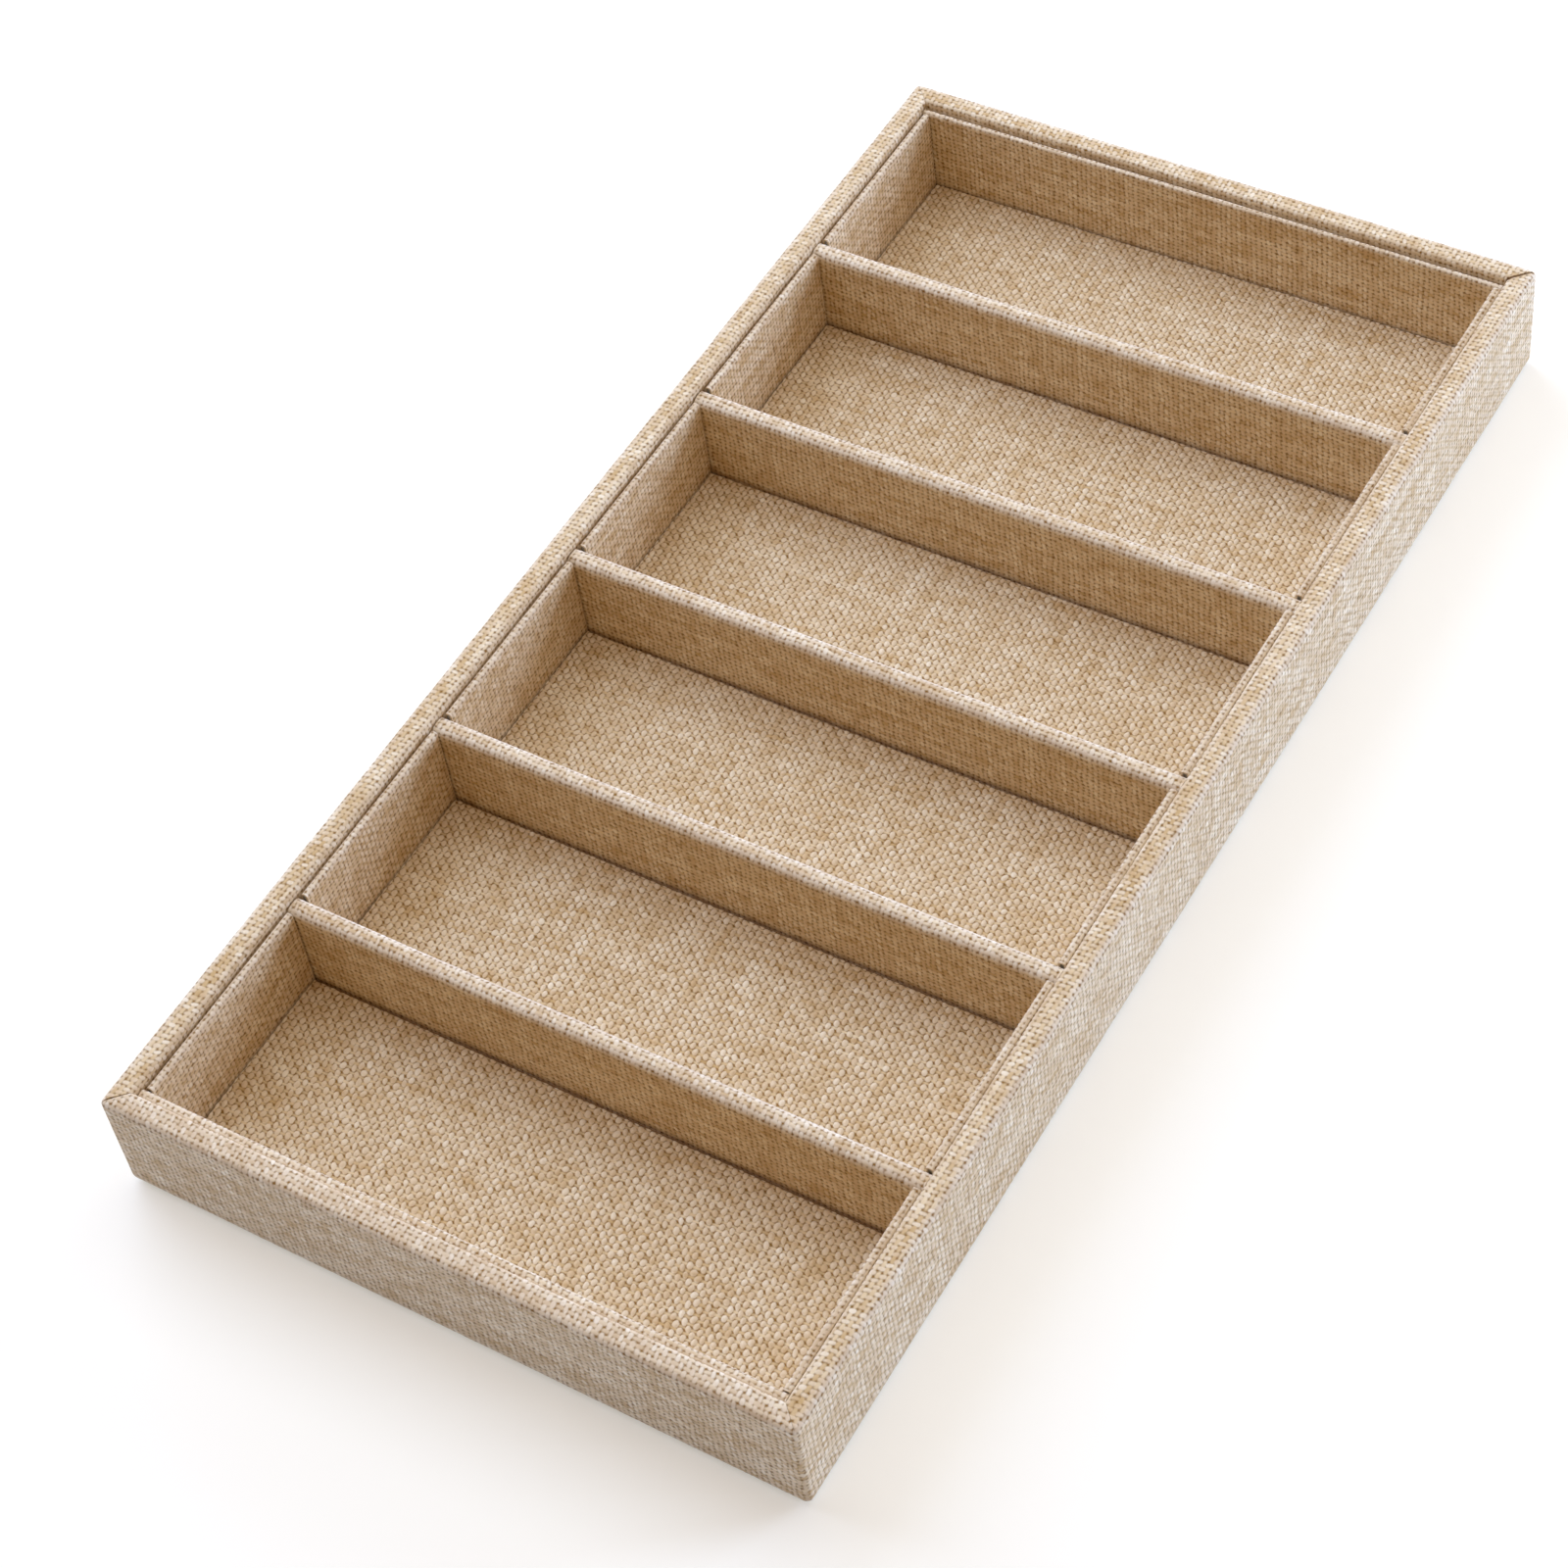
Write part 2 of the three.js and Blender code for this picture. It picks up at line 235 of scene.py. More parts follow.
def drift(points, seed, size, reach):
    """A slow wander over space: the sum of six sine waves with random directions and starts."""
    rng = np.random.default_rng(seed)
    waves = rng.normal(size=(3, DRIFT_WAVES)) / size
    starts = rng.uniform(0, 2 * np.pi, DRIFT_WAVES)
    return reach * np.sin(points @ waves + starts).sum(-1) / np.sqrt(DRIFT_WAVES)


def laid(threads, points, seed):
    """Thread counts as the cloth really lies: the even counts, plus a slow drift over hands' breadths
    and a jostle from thread to thread, each with a wander of its own in both directions."""
    slow = [drift(points, seed + step, DRIFT_MM, DRIFT_THREADS) for step in (0, 500)]
    fast = [drift(points, seed + step, JOSTLE_MM, JOSTLE_THREADS) for step in (1000, 1500)]
    return threads + np.stack(slow, -1) + np.stack(fast, -1)


def slubs(lane, run, seed):
    """Thickness of a hand-spun thread along its run: one, plus two sine waves of each lane's own lengths."""
    rng = np.random.default_rng(seed)
    turns = rng.uniform(*SLUB_TURNS, (2, SLUB_LANES))
    starts = rng.uniform(0, 2 * np.pi, (2, SLUB_LANES))
    lane = np.rint(lane).astype(int) % SLUB_LANES
    first, second = (np.sin(run * turns[i, lane] + starts[i, lane]) for i in range(2))
    return 1 + SLUB_SHARES[0] * first + SLUB_SHARES[1] * second


def woven_height(u, v, seed, weave):
    """Height of a plain weave in thread counts: the higher of two sets of round threads.
    Each thread is a power of a cosine across, and rises and dips as a cosine along, over and under in turn.
    The first set can be lifted, so it shows as beads, and the yarn's twist slants each bead by a sine."""
    across, along = np.cos(np.pi * u), np.cos(np.pi * v)
    side = np.clip(CROSSING_GAIN * across, -1, 1)
    bead = np.abs(np.cos(np.pi * (u + weave["twist"] * side * np.sin(np.pi * v)))) ** THREAD_FORM
    warp = weave["lift"] + weave["crimp"] * side * along + bead * slubs(u, v, seed)
    weft = weave["level"] * np.abs(along) ** THREAD_FORM * slubs(v, u, seed + 1)
    weft -= weave["dip"] * np.clip(CROSSING_GAIN * along, -1, 1) * across
    return weave["relief"] * (np.maximum(warp, weft) - weave["lift"] - weave["crimp"] - 1)


def fold_wear_and_highlight(at, folds, rubbed_and_highlit, reach):
    """How pale the cloth is painted at its folds, for rubbing and as painted highlight: each fold's own share
    there, dying away as a bell curve of the given reach.
    """
    return (rubbed_and_highlit * np.exp(-((at[:, None] - folds) / reach) ** 2)).max(1)


def turned(along, across, up, angle, origin):
    """Carries strip coordinates to the tray: a turn about the upright axis, then a shift."""
    x = origin[0] + along * np.cos(angle) - across * np.sin(angle)
    y = origin[1] + along * np.sin(angle) + across * np.cos(angle)
    return np.stack(np.broadcast_arrays(x, y, up), -1)


def skin(base, normal, relief, threads, wear_and_highlight, kept, sewn=False):
    """A sheet of cloth from its outer surface on a grid: the outside is raised by the weave's relief.
    The glued side lies a cloth's thickness in, on the kept columns only.
    Quads cover both and the end cuts, and one long face covers each hem.
    Rows marked as sewn have no end cut."""
    outside = base + normal * relief[..., None]
    inside = (base - normal * CLOTH_MM)[:, kept]
    rows, columns = relief.shape
    f = np.arange(rows * columns).reshape(rows, columns)
    b = f.size + np.arange(rows * len(kept)).reshape(rows, -1)
    cut = np.flatnonzero(~(np.zeros(rows - 1, bool) | sewn))
    quads = np.concatenate([
        np.stack([f[:-1, :-1], f[:-1, 1:], f[1:, 1:], f[1:, :-1]], -1).reshape(-1, 4),
        np.stack([b[:-1, :-1], b[1:, :-1], b[1:, 1:], b[:-1, 1:]], -1).reshape(-1, 4),
        np.stack([f[cut, 0], f[cut + 1, 0], b[cut + 1, 0], b[cut, 0]], -1),
        np.stack([f[cut + 1, -1], f[cut, -1], b[cut, -1], b[cut + 1, -1]], -1),
    ])
    return {
        "points": np.concatenate([outside.reshape(-1, 3), inside.reshape(-1, 3)]),
        "threads": np.concatenate([threads.reshape(-1, 2), threads[:, kept].reshape(-1, 2)]),
        "wear_and_highlight": np.concatenate([wear_and_highlight.reshape(-1), wear_and_highlight[:, kept].reshape(-1)]),
        "quads": quads,
        "hems": [np.concatenate([f[0, ::-1], b[0]]), np.concatenate([f[-1], b[-1, ::-1]])],
        "ends": (np.concatenate([f[:, :1], b[:, :1]], 1), np.concatenate([f[:, -1:], b[:, -1:]], 1)),
    }


def cloth_piece(name, skins, linen, same=None):
    """One mesh object from skins of cloth; same gives, for each point, the point that it is joined to."""
    starts = np.cumsum([0] + [len(s["points"]) for s in skins])
    quads = np.concatenate([s["quads"] + start for s, start in zip(skins, starts)])
    hems = [hem + start for s, start in zip(skins, starts) for hem in s["hems"]]
    corners = np.concatenate([quads.ravel(), *hems])
    counts = np.concatenate([np.full(len(quads), 4), [len(hem) for hem in hems]])
    threads = np.concatenate([s["threads"] for s in skins])[corners]
    used, corners = np.unique(corners if same is None else same[corners], return_inverse=True)
    mesh = bpy.data.meshes.new(name)
    mesh.vertices.add(len(used))
    mesh.vertices.foreach_set("co", np.concatenate([s["points"] for s in skins])[used].ravel() * MM)
    mesh.loops.add(len(corners))
    mesh.loops.foreach_set("vertex_index", corners.astype(np.int32))
    mesh.polygons.add(len(counts))
    mesh.polygons.foreach_set("loop_start", np.concatenate([[0], np.cumsum(counts)[:-1]]).astype(np.int32))
    mesh.update(calc_edges=True)
    mesh.uv_layers.new(name="threads").uv.foreach_set("vector", threads.astype(np.float32).ravel())
    wear_and_highlight = mesh.attributes.new("fold_wear_and_highlight", "FLOAT", "POINT")
    wear_and_highlight.data.foreach_set("value", np.concatenate([s["wear_and_highlight"] for s in skins])[used].astype(np.float32))
    mesh.shade_smooth()
    mesh.set_sharp_from_angle(angle=SHARP_ANGLE)
    mesh.materials.append(linen)
    piece = bpy.data.objects.new(name, mesh)
    bpy.context.scene.collection.objects.link(piece)
    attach(piece, "root")
    return piece


def thread_tone(tree, lane, run, mottle, weave):
    """Tone of one set of threads: a long streak and short slubs of each thread's own, mixed, plus a share
    of the cloth's mottle, and stretched to run from zero to one over the weave's range of tones."""
    thread = add(tree, "CombineXYZ", add(tree, "Math", lane, operation="ROUND"), run)
    long_scale = (LANE_CHANGE, THREAD_ALONG_MM / STREAK_MM, 1.0)
    short_scale = (LANE_CHANGE, THREAD_ALONG_MM / SLUB_MM, 1.0)
    long_run = add(tree, "Mapping", {"Vector": thread, "Scale": long_scale})
    short_run = add(tree, "Mapping", {"Vector": thread, "Location": SLUB_TONE_OFFSET, "Scale": short_scale})
    streak = add(tree, "TexNoise", {"Vector": long_run, "Scale": 1.0, "Detail": 1.0})
    slub = add(tree, "TexNoise", {"Vector": short_run, "Scale": 1.0, "Detail": 2.0})
    own = add(tree, "Mix", {0: SLUB_TONE_SHARE, 2: streak, 3: slub})
    tone = add(tree, "Math", mottle, weave["mottle"], own, operation="MULTIPLY_ADD")
    middle = 0.5 + weave["mottle"] / 2
    return add(tree, "MapRange", tone, middle - weave["tones"], middle + weave["tones"])


def linen_material(name, weave):
    """Plain-weave linen-look cloth: pale slubby threads, one set proud of the other, and brown painted shade
    in the gaps.
    Its height is the formula of the woven height again, and the colour goes by which set lies on top.
    The eye gets cream beads in offset columns, paler and ochre threads, brown pores of painted shade, folds
    painted paler for rubbing and as painted highlight, and no shine."""
    material, tree = blank_material(name)
    threads = add(tree, "UVMap", uv_map="threads")
    counts = add(tree, "SeparateXYZ", threads)
    u, v = counts.outputs[0], counts.outputs[1]

    turn_u = add(tree, "Math", u, np.pi, operation="MULTIPLY")
    turn_v = add(tree, "Math", v, np.pi, operation="MULTIPLY")
    across = add(tree, "Math", turn_u, operation="COSINE")
    along = add(tree, "Math", turn_v, operation="COSINE")
    crossing = 1 / CROSSING_GAIN
    warp_side = add(tree, "MapRange", across, -crossing, crossing, -1.0, 1.0)
    weft_side = add(tree, "MapRange", along, -crossing, crossing, -1.0, 1.0)
    slant = add(tree, "Math", warp_side, add(tree, "Math", turn_v, operation="SINE"), operation="MULTIPLY")
    slanted = add(tree, "Math", slant, weave["twist"] * np.pi, turn_u, operation="MULTIPLY_ADD")
    bead = add(tree, "Math", add(tree, "Math", slanted, operation="COSINE"), operation="ABSOLUTE")
    round_bead = add(tree, "Math", bead, THREAD_FORM, operation="POWER")
    warp_wave = add(tree, "Math", warp_side, along, operation="MULTIPLY")
    warp = add(tree, "Math", warp_wave, weave["crimp"], round_bead, operation="MULTIPLY_ADD")
    strand = add(tree, "Math", along, operation="ABSOLUTE")
    round_strand = add(tree, "Math", strand, THREAD_FORM, operation="POWER")
    strand_level = add(tree, "Math", round_strand, weave["level"], -weave["lift"], operation="MULTIPLY_ADD")
    weft_wave = add(tree, "Math", weft_side, across, operation="MULTIPLY")
    weft = add(tree, "Math", weft_wave, -weave["dip"], strand_level, operation="MULTIPLY_ADD")
    height = add(tree, "Math", warp, weft, operation="MAXIMUM")
    step = add(tree, "Math", warp, weft, operation="SUBTRACT")
    over = add(tree, "MapRange", step, -LAY_SOFTNESS, LAY_SOFTNESS)

    mottle_scale = THREAD_ACROSS_MM / MOTTLE_MM
    mottle = add(tree, "TexNoise", {
        "Vector": threads,
        "Scale": mottle_scale,
        "Detail": 3.0,
        "Roughness": 0.6,
    })
    warp_tone = thread_tone(tree, u, v, mottle, weave)
    weft_tone = thread_tone(tree, v, u, mottle, weave)
    both_tones = add(tree, "Mix", {0: WEFT_TONE_SHARE, 2: warp_tone, 3: weft_tone})
    warp_yarn = add(tree, "Mix", {0: both_tones, 6: srgb("#CFAE7E"), 7: srgb("#F7E9D0")}, data_type="RGBA")
    weft_yarn = add(tree, "Mix", {0: weft_tone, 6: srgb("#CBAA77"), 7: srgb("#ECD7B1")}, data_type="RGBA")
    yarn = add(tree, "Mix", {0: over, 6: weft_yarn, 7: warp_yarn}, data_type="RGBA")
    # Folds are painted paler towards cream: partly rubbing, partly a painted highlight on tops and edges.
    wear_and_highlight = add(tree, "Attribute", attribute_name="fold_wear_and_highlight").outputs["Fac"]
    wear_and_highlight_share = add(tree, "Math", wear_and_highlight, RUBBED_AND_HIGHLIGHT_PALE_SHARE, operation="MULTIPLY")
    rubbed_and_highlit = add(tree, "Mix", {0: wear_and_highlight_share, 6: yarn, 7: srgb("#F4EEE6")}, data_type="RGBA")
    # Where the weave lies low the colour goes to brown: painted shade in the gaps, made patchy by noise.
    fleck = add(tree, "TexNoise", {"Vector": threads, "Scale": THREAD_ACROSS_MM / FLECK_MM})
    closed = add(tree, "Math", fleck, weave["fleck"], height, operation="MULTIPLY_ADD")
    gap_shade_middle = weave["fleck"] / 2
    gap_shade = add(tree, "MapRange", closed, gap_shade_middle - GAP_SHADE_SOFTNESS, gap_shade_middle + weave["open"])
    cloth = add(tree, "Mix", {0: gap_shade, 6: srgb("#886225"), 7: rubbed_and_highlit}, data_type="RGBA")
    depth = weave["relief"] * MM
    relief = add(tree, "Bump", {"Height": height, "Strength": weave["bump"], "Distance": depth})
    shader = add(tree, "BsdfPrincipled", {
        "Base Color": cloth,
        "Roughness": 0.92,
        "Specular IOR Level": 0.25,
        "Sheen Weight": 0.2,
        "Sheen Roughness": 0.5,
        "Normal": relief,
    })
    add(tree, "OutputMaterial", {"Surface": shader})
    return material


pressed_linen = linen_material("pressed_plain_weave_linen", PRESSED)

frame_lo, frame_hi = box_mm("frame_cloth")
board_lo, board_hi = box_mm("left_wall_board")
skin_mm = board_lo[0] - frame_lo[0]
rim_inset = board_hi[0] + skin_mm - frame_lo[0] - RIM_PINCH_MM
rim_top, cloth_foot = frame_hi[2], frame_lo[2]

section, section_folds = bent_line(
    [(UNDER_TURN_MM, cloth_foot), (0, cloth_foot), (0, rim_top), (rim_inset, rim_top),
     (rim_inset, rim_top - RIM_TURN_MM)],
    [FOOT_RADIUS_MM, RIM_RADIUS_MM, INNER_RADIUS_MM])
foot_start = UNDER_TURN_MM - FOOT_RADIUS_MM
rim_end = section_folds[2] + INNER_RADIUS_MM * np.pi / 4
wall_threads_up = round((rim_end - foot_start) / THREAD_ALONG_MM)
fine_rows = np.linspace(foot_start, rim_end, wall_threads_up * FRAME_SAMPLES + 1)
section_rows = np.concatenate([[0], fine_rows, travelled(section)[-1:]])
section_points, section_normals = along_line(section, section_rows)
section_wear_and_highlight = fold_wear_and_highlight(section_rows, section_folds, FRAME_RUBBED_AND_HIGHLIT, FOLD_WEAR_AND_HIGHLIGHT_MM)
up_threads = (section_rows - foot_start) / (rim_end - foot_start) * wall_threads_up
woven_rows = (section_rows >= foot_start) & (section_rows <= rim_end)
rim_rows = (section_rows > section_folds[1]) & (section_rows < section_folds[2])
wall_low = section_folds[0] - FOOT_RADIUS_MM * np.pi / 4
wall_high = section_folds[1] - RIM_RADIUS_MM * np.pi / 8
sewn_rows = (section_rows[:-1] >= wall_low) & (section_rows[1:] <= wall_high)

half_arc = CORNER_RADIUS_MM * np.pi / 4


def wall_skin(wall, first_thread):
    """One wall's length of the frame cloth, from the middle of one corner to the middle of the next.
    Across the wall the section is inset from the outer face; near the ends it closes in on the mitre.
    The corner is an arc whose radius shrinks with the inset, and the mitre opens by a small gap."""
    half_side = (frame_hi[0], frame_hi[1])[wall % 2]
    half_other = (frame_hi[1], frame_hi[0])[wall % 2]
    straight = half_side - CORNER_RADIUS_MM
    reach = straight + half_arc
    count = round(2 * reach / THREAD_ACROSS_MM)
    place = np.linspace(-reach, reach, count * FRAME_SAMPLES + 1)[None, :]
    inset, up = section_points[:, :1], section_points[:, 1:]
    centre_inset = np.maximum(CORNER_RADIUS_MM, inset + TIGHT_RADIUS_MM)
    radius = np.maximum(CORNER_RADIUS_MM - inset, TIGHT_RADIUS_MM)
    straight_here = half_side - centre_inset
    far = np.abs(place)
    bend = np.clip(far - straight, 0, None) / CORNER_RADIUS_MM
    start = straight - MITRE_REACH_MM
    closing = start + (far - start) * (straight_here - start) / MITRE_REACH_MM
    run = np.where(far < start, far, np.where(far < straight, closing, straight_here))
    away = np.clip(1 - (reach - far) / MITRE_TAPER_MM, 0, 1)
    above = np.clip((section_rows[:, None] - wall_high) / MITRE_RISE_MM, 0, 1)
    inward = np.clip(inset / rim_inset, 0, 1)
    left = np.interp(inward, [0, 1], MITRE_OPEN_MM[wall][::-1])
    right = np.interp(inward, [0, 1], MITRE_OPEN_MM[(wall + 1) % 4][::-1])
    gap = np.where(place < 0, left, right) * away * above / np.sqrt(2)
    along = np.sign(place) * (run + radius * np.sin(bend) - gap)
    across = centre_inset - radius * np.cos(bend)
    angle = wall * np.pi / 2
    origin = half_other * np.array([np.sin(angle), -np.cos(angle)])
    base = turned(along, across, up, angle, origin)
    lean, rise = section_normals[:, :1], section_normals[:, 1:]
    normal = turned(-lean * np.sin(bend) * np.sign(place), lean * np.cos(bend), rise, angle, (0, 0))
    u = first_thread + count / 2 + np.sign(place) * (run + radius * bend) / (2 * reach / count)
    even_threads = np.stack(np.broadcast_arrays(u, up_threads[:, None]), -1)
    threads = laid(even_threads, base, FRAME_SEED)
    # The front wall's rim top is painted paler still: a painted highlight.
    front_rim_highlight = FRONT_RIM_PAINTED_HIGHLIGHT * rim_rows * (wall == 0)
    wear_and_highlight = np.broadcast_to(np.maximum(section_wear_and_highlight, front_rim_highlight)[:, None], threads.shape[:2])
    weave = woven_height(threads[..., 0], threads[..., 1], FRAME_SEED + 2, PRESSED)
    relief = (1 - WEAR_FLATTENS * wear_and_highlight) * weave * woven_rows[:, None]
    arc = int(np.count_nonzero(place > straight)) + 1
    columns = relief.shape[1]
    kept = np.concatenate([np.arange(arc), np.arange(columns - arc, columns)])
    return skin(base, normal, relief, threads, wear_and_highlight, kept, sewn_rows), first_thread + count


wall_skins, thread = [], 0
for wall in range(4):
    made, thread = wall_skin(wall, thread)
    wall_skins.append(made)
starts = np.cumsum([0] + [len(s["points"]) for s in wall_skins])
same = np.arange(starts[-1])
joined_rows = np.flatnonzero(np.concatenate([sewn_rows, [False]]) | np.concatenate([[False], sewn_rows]))
for wall in range(4):
    after = (wall + 1) % 4
    mine = wall_skins[wall]["ends"][1][joined_rows] + starts[wall]
    theirs = wall_skins[after]["ends"][0][joined_rows] + starts[after]
    same[theirs.ravel()] = mine.ravel()
frame_cloth = cloth_piece("frame_wrap", wall_skins, pressed_linen, same)
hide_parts("frame_cloth")

# Dividers: fibreboard slats that stand on the base from wall to wall, each with cloth over both faces.
# The cloth is one rectangle glued up one face, over the rounded top and down the other.

STRIP_SAMPLES = 3
CUT_STEP_THREADS = (97, 31)
DIVIDER_SEED = 11
DIVIDER_RADIUS_MM = 1.8
# The divider tops are painted paler: rubbing, plus a painted highlight.
DIVIDER_RUBBED_AND_HIGHLIT = 1.0
DIVIDER_WEAR_AND_HIGHLIGHT_MM = 1.5


def wrapped_parts(kind):
    """Names of the wrapped parts of one kind, in order: the nodes of a cloth, without that ending."""
    return sorted(name.removesuffix("_cloth") for name in nodes if kind in name and name.endswith("_cloth"))


def strip_piece(name, corners, radius, rubbed_and_highlit, wear_and_highlight_mm, hidden, length, angle, origin, seed):
    """A straight strip of cloth: a section with two equal bends, drawn out along its length.
    The stretch before the hidden distance is left smooth, since it lies glued against a wall.
    Each strip is cut from another place in the cloth, a set step of threads on."""
    line, folds = bent_line(corners, [radius] * 2)
    total = travelled(line)[-1]
    up_count = round((total - hidden) / THREAD_ALONG_MM)
    count = round(length / THREAD_ACROSS_MM)
    rows = np.linspace(hidden, total, up_count * STRIP_SAMPLES + 1)
    rows = np.concatenate([[0], rows]) if hidden else rows
    point, lean = along_line(line, rows)
    place = np.linspace(-length / 2, length / 2, count * STRIP_SAMPLES + 1)[None, :]
    base = turned(place, point[:, :1], point[:, 1:], angle, origin)
    normal = turned(np.zeros_like(place), lean[:, :1], lean[:, 1:], angle, (0, 0))
    u = CUT_STEP_THREADS[0] * seed + (place + length / 2) * count / length
    v = CUT_STEP_THREADS[1] * seed + (rows[:, None] - hidden) * up_count / (total - hidden)
    threads = laid(np.stack(np.broadcast_arrays(u, v), -1), base, seed)
    wear_and_highlight = np.broadcast_to(fold_wear_and_highlight(rows, folds, rubbed_and_highlit, wear_and_highlight_mm)[:, None], threads.shape[:2])
    weave = woven_height(threads[..., 0], threads[..., 1], seed, PRESSED)
    relief = (1 - WEAR_FLATTENS * wear_and_highlight) * weave * (rows >= hidden)[:, None]
    kept = np.array([0, relief.shape[1] - 1])
    piece = cloth_piece(name, [skin(base, normal, relief, threads, wear_and_highlight, kept)], pressed_linen)
    return piece, (total * MM, length * MM)


for number, name in enumerate(wrapped_parts("divider_")):
    lo, hi = box_mm(name + "_cloth")
    nodes[name + "_board"].material_slots[0].material = fibreboard
    half = (hi[1] - lo[1]) / 2
    corners = [(-half, lo[2]), (-half, hi[2]), (half, hi[2]), (half, lo[2])]
    middle = (lo + hi) / 2
    piece, flat = strip_piece(
        name + "_wrap", corners, DIVIDER_RADIUS_MM, DIVIDER_RUBBED_AND_HIGHLIT, DIVIDER_WEAR_AND_HIGHLIGHT_MM,
        hidden=0, length=hi[0] - lo[0], angle=0, origin=middle[:2], seed=DIVIDER_SEED + number)
    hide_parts(name + "_cloth")

# Liners: thin grey card on edge against the walls, wrapped over the face, the top and part of the back.
# Each long wall has a short liner in every compartment; the two end walls have one each.

LINER_RADIUS_MM = 0.75
LINER_TURN_MM = 10
# The liner tops are painted paler: rubbing, plus a painted highlight.
LINER_RUBBED_AND_HIGHLIT = 0.7

# By side: how far the back stands in from the CAD cloth, how much longer a strip is, and its turn.
LINER_PINCH_MM = {"front": -0.25, "right": 0.0, "rear": 0.35, "left": 0.3}
LINER_REACH_MM = {"front": 0, "right": 0.5, "rear": 0, "left": 0}
LINER_TURNS = {"front": 0, "right": np.pi / 2, "rear": np.pi, "left": -np.pi / 2}
LINER_SEED = 31
CARD_FLECK_MM = 1.1
CARD_TOOTH_MM = 0.05


def card_material():
    """Recycled grey card: dull grey pulp with darker and lighter specks, quite matt."""
    material, tree = blank_material("recycled_grey_card")
    place = add(tree, "TexCoord").outputs["Object"]
    speck = add(tree, "TexNoise", {"Vector": place, "Scale": 1 / (CARD_FLECK_MM * MM), "Detail": 5.0})
    grey = add(tree, "Mix", {0: speck, 6: srgb("#7F7A70"), 7: srgb("#B4AEA2")}, data_type="RGBA")
    tooth = add(tree, "Bump", {"Height": speck, "Strength": 0.3, "Distance": CARD_TOOTH_MM * MM})
    shader = add(tree, "BsdfPrincipled", {"Base Color": grey, "Roughness": 0.9, "Normal": tooth})
    add(tree, "OutputMaterial", {"Surface": shader})
    return material


grey_card = card_material()
for number, name in enumerate(wrapped_parts("liner")):
    lo, hi = box_mm(name + "_cloth")
    nodes[name + "_card"].material_slots[0].material = grey_card
    side = name.split("_")[0]
    across_axis = 1 if side in ("front", "rear") else 0
    size = hi - lo
    half = size[across_axis] / 2
    back_foot = hi[2] - LINER_TURN_MM
    back = LINER_PINCH_MM[side] - half
    corners = [(back, back_foot), (back, hi[2]), (half, hi[2]), (half, lo[2])]
    middle = (lo + hi) / 2
    piece, flat = strip_piece(
        name + "_wrap", corners, LINER_RADIUS_MM, LINER_RUBBED_AND_HIGHLIT, FOLD_WEAR_AND_HIGHLIGHT_MM,
        hidden=LINER_TURN_MM - 2 * LINER_RADIUS_MM, length=size[1 - across_axis] + LINER_REACH_MM[side],
        angle=LINER_TURNS[side], origin=middle[:2], seed=LINER_SEED + number)
    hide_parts(name + "_cloth")

# Floors: a card in each compartment with cloth over its top and down its four edges.
# The cloth was laid by hand, so its threads run a little askew to the dividers.

FLOOR_RADIUS_MM = 0.6
FOLD_STEPS = 4
FLOOR_TILT = np.radians(2.2)
FLOOR_TILT_WANDER = np.radians(0.8)
FLOOR_TILT_MM = 40
FLOOR_SEED = 61
FLOOR_REACH_MM = np.array([0.2, 0.0, 0.0])
LAID = {
    "relief": 0.15, "lift": 0.34, "crimp": 0.78, "level": 0.85, "dip": 0.2, "twist": 0.07,
    "bump": 0.55, "open": 0.66, "mottle": 0.4, "fleck": 1.4, "tones": 0.18,
}

laid_linen = linen_material("plain_weave_linen", LAID)


def folded_edges(half, threads, drop):
    """Grid lines over one direction of a floor: even lines over the flat, then closer ones round the fold.
    A line is its place on the flat and how far it has gone past the flat's edge."""
    flat = np.linspace(-half, half, threads * STRIP_SAMPLES + 1)
    quarter = FLOOR_RADIUS_MM * np.pi / 2
    past = np.concatenate([quarter * np.arange(1, FOLD_STEPS + 1) / FOLD_STEPS, [quarter + drop]])
    place = np.concatenate([np.full(past.size, -half), flat, np.full(past.size, half)])
    return place, np.concatenate([-past[::-1], np.zeros(flat.size), past])


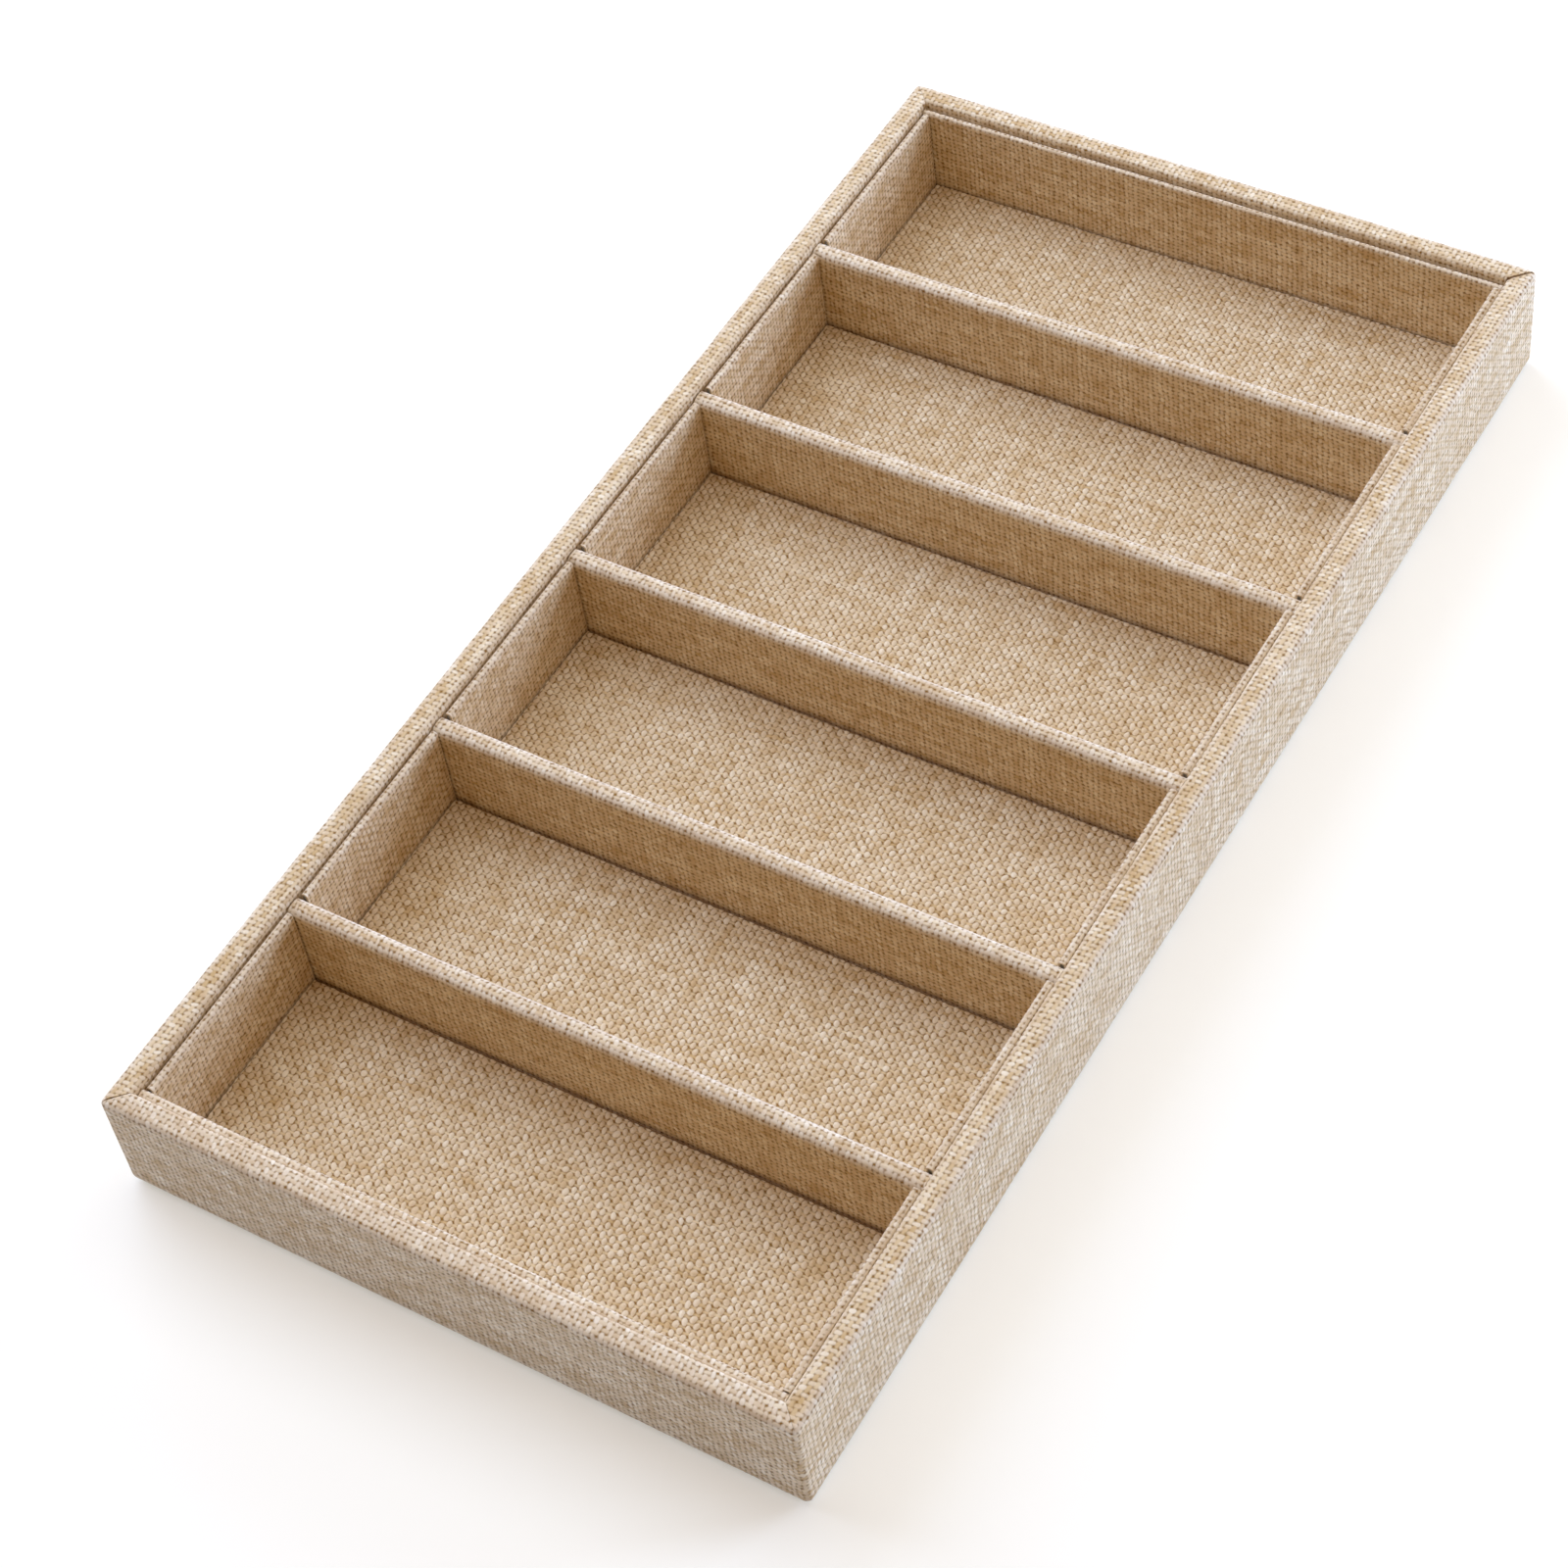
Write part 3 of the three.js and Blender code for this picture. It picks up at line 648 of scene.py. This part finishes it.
def floor_piece(name, lo, hi, seed):
    """A cloth over a card: flat on top, a quarter turn round the edge, then straight down.
    Past two edges at once the fold runs round the corner, so the corner is a small dome.
    The folds lie low, so they aren't rubbed and get no painted highlight."""
    centre = (lo + hi) / 2
    half = (hi - lo) / 2 - FLOOR_RADIUS_MM
    drop = hi[2] - lo[2] - FLOOR_RADIUS_MM
    counts = np.rint(2 * half[:2] / (THREAD_ACROSS_MM, THREAD_ALONG_MM)).astype(int)
    x, past_x = (line[None, :] for line in folded_edges(half[0], counts[0], drop))
    y, past_y = (line[:, None] for line in folded_edges(half[1], counts[1], drop))
    past = np.maximum(np.abs(past_x), np.abs(past_y))
    heading = np.arctan2(past_y, past_x)
    turn = np.clip(past / FLOOR_RADIUS_MM, 0, np.pi / 2)
    out = FLOOR_RADIUS_MM * np.sin(turn) * (past > 0)
    below = FLOOR_RADIUS_MM * (1 - np.cos(turn)) + np.clip(past - FLOOR_RADIUS_MM * np.pi / 2, 0, None)
    side_x, side_y = np.cos(heading), np.sin(heading)
    base = np.stack([centre[0] + x + out * side_x, centre[1] + y + out * side_y, hi[2] - below], -1)
    normal = np.stack([np.sin(turn) * side_x, np.sin(turn) * side_y, np.cos(turn)], -1)
    flat_x, flat_y = x + past_x, y + past_y
    tilt = FLOOR_TILT + drift(centre, seed, FLOOR_TILT_MM, FLOOR_TILT_WANDER)
    u = CUT_STEP_THREADS[0] * seed + (flat_x * np.cos(tilt) + flat_y * np.sin(tilt)) / THREAD_ACROSS_MM
    v = CUT_STEP_THREADS[1] * seed + (flat_y * np.cos(tilt) - flat_x * np.sin(tilt)) / THREAD_ALONG_MM
    threads = laid(np.stack([u, v], -1), base, seed)
    relief = woven_height(threads[..., 0], threads[..., 1], seed, LAID)
    wear_and_highlight = np.zeros(relief.shape)
    edge = FOLD_STEPS + 2
    columns = relief.shape[1]
    kept = np.concatenate([np.arange(edge), np.arange(columns - edge, columns)])
    piece = cloth_piece(name, [skin(base, normal, relief, threads, wear_and_highlight, kept)], laid_linen)
    wrapped = 2 * (half[:2] + FLOOR_RADIUS_MM * np.pi / 2 + drop)
    return piece, tuple((wrapped * MM).tolist())


for number, name in enumerate(wrapped_parts("floor_")):
    nodes[name + "_card"].material_slots[0].material = grey_card
    lo, hi = box_mm(name + "_cloth")
    piece, flat = floor_piece(name + "_wrap", lo - FLOOR_REACH_MM, hi + FLOOR_REACH_MM, FLOOR_SEED + number)
    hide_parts(name + "_cloth")

# Studio: a pale floor that keeps the tray's shadow, lights the outer walls coolly and fades to white.
# A wide softbox on the left and one overhead light the tops and floors.
# A low cool window at the rear right lights the right wall.

STAGE_REACH_M = 3.0
STAGE_LEVEL_MM = -0.05
STAGE_PALE_M = 0.35
STAGE_WHITE_M = 0.75
LAMP_REACH_M = 1.5
LAMPS = {
    "left_softbox": {"turn": 165, "rise": 35, "size": 1.6, "level": 1.36, "colour": "#C7DBFF"},
    "overhead_softbox": {"turn": 90, "rise": 75, "size": 1.6, "level": 0.60, "colour": "#E6F0FF"},
    "rear_right_window": {"turn": 46, "rise": 15, "size": 0.7, "level": 0.90, "colour": "#C4D9FF"},
}

floor_mesh = bpy.data.meshes.new("studio_floor")
floor_corners = STAGE_REACH_M * np.array([(-1, -1, 0), (1, -1, 0), (1, 1, 0), (-1, 1, 0)])
floor_mesh.from_pydata((floor_corners + (0, 0, STAGE_LEVEL_MM * MM)).tolist(), [], [(0, 1, 2, 3)])
floor = bpy.data.objects.new("studio_floor", floor_mesh)
bpy.context.scene.collection.objects.link(floor)


def background_ray(tree):
    """One for rays that show the background: straight to the camera, in a gloss or through glass."""
    path = add(tree, "LightPath").outputs
    mirrored = add(tree, "Math", path["Is Glossy Ray"], path["Is Transmission Ray"], operation="MAXIMUM")
    return add(tree, "Math", path["Is Camera Ray"], mirrored, operation="MAXIMUM")


# Matt paint that lights the tray coolly, and shows as a pale floor that turns to white paper further off.
floor_paint, tree = blank_material("pale_studio_floor")
paint = add(tree, "BsdfDiffuse", {"Color": srgb("#F4F4F4")})
glow = add(tree, "Emission", {"Color": srgb("#8EC4FF"), "Strength": 0.47})
lit = add(tree, "AddShader", paint, glow)
plain = add(tree, "BsdfDiffuse", {"Color": srgb("#E7E5DB")})
lift = add(tree, "Emission", {"Color": srgb("#FFFFFF"), "Strength": 0.32})
pale = add(tree, "AddShader", plain, lift)
away = add(tree, "VectorMath", add(tree, "TexCoord").outputs["Object"], operation="LENGTH")
fade = add(tree, "MapRange", away.outputs["Value"], STAGE_PALE_M, STAGE_WHITE_M)
paper = add(tree, "Emission", {"Color": srgb("#FFFFFF"), "Strength": 1.0})
backdrop = add(tree, "MixShader", fade, pale, paper)
shown = add(tree, "MixShader", background_ray(tree), lit, backdrop)
add(tree, "OutputMaterial", {"Surface": shown})
floor_mesh.materials.append(floor_paint)

world = bpy.data.worlds.new("studio")
world.use_nodes = True
bpy.context.scene.world = world
sky = world.node_tree
sky.nodes.clear()
soft = add(sky, "Background", {"Color": srgb("#FFC245"), "Strength": 0.24})
white = add(sky, "Background", {"Color": srgb("#FFFFFF"), "Strength": 1.0})
seen = add(sky, "MixShader", background_ray(sky), soft, white)
add(sky, "OutputWorld", {"Surface": seen})

for name, setting in LAMPS.items():
    turn, rise = np.radians([setting["turn"], setting["rise"]])
    back = Vector((np.cos(turn) * np.cos(rise), np.sin(turn) * np.cos(rise), np.sin(rise)))
    light = bpy.data.lights.new(name, "AREA")
    light.size = setting["size"]
    light.color = srgb(setting["colour"])[:3]
    light.energy = setting["level"] * np.pi ** 2 * LAMP_REACH_M ** 2
    lamp = bpy.data.objects.new(name, light)
    bpy.context.scene.collection.objects.link(lamp)
    lamp.location = back * LAMP_REACH_M
    lamp.rotation_euler = back.to_track_quat("Z", "Y").to_euler()

# Camera: the photograph's view, from above the front right corner with a slight roll.
# Its place, its turn and its long lens were fitted to seven corners of the tray in the photograph.

FOCAL_PIXELS = 3716.97
FRAME_PIXELS = 1600
SENSOR_MM = 36
CAMERA_MM = (312.9, -434.3, 642.9)
CAMERA_RIGHT = (0.85529, 0.50697, -0.10704)
CAMERA_DOWN = (0.33853, -0.70313, -0.6253)
CAMERA_AHEAD = (-0.39227, 0.49858, -0.77301)

lens = bpy.data.cameras.new("camera")
lens.sensor_width = SENSOR_MM
lens.lens = SENSOR_MM * FOCAL_PIXELS / FRAME_PIXELS
camera = bpy.data.objects.new("camera", lens)
bpy.context.scene.collection.objects.link(camera)
camera_up = np.negative(CAMERA_DOWN)
camera_back = np.negative(CAMERA_AHEAD)
placed = np.eye(4)
placed[:3] = np.transpose([CAMERA_RIGHT, camera_up, camera_back, np.multiply(CAMERA_MM, MM)])
camera.matrix_world = Matrix(placed.tolist())
bpy.context.scene.camera = camera
bpy.context.scene.view_settings.view_transform = "Standard"
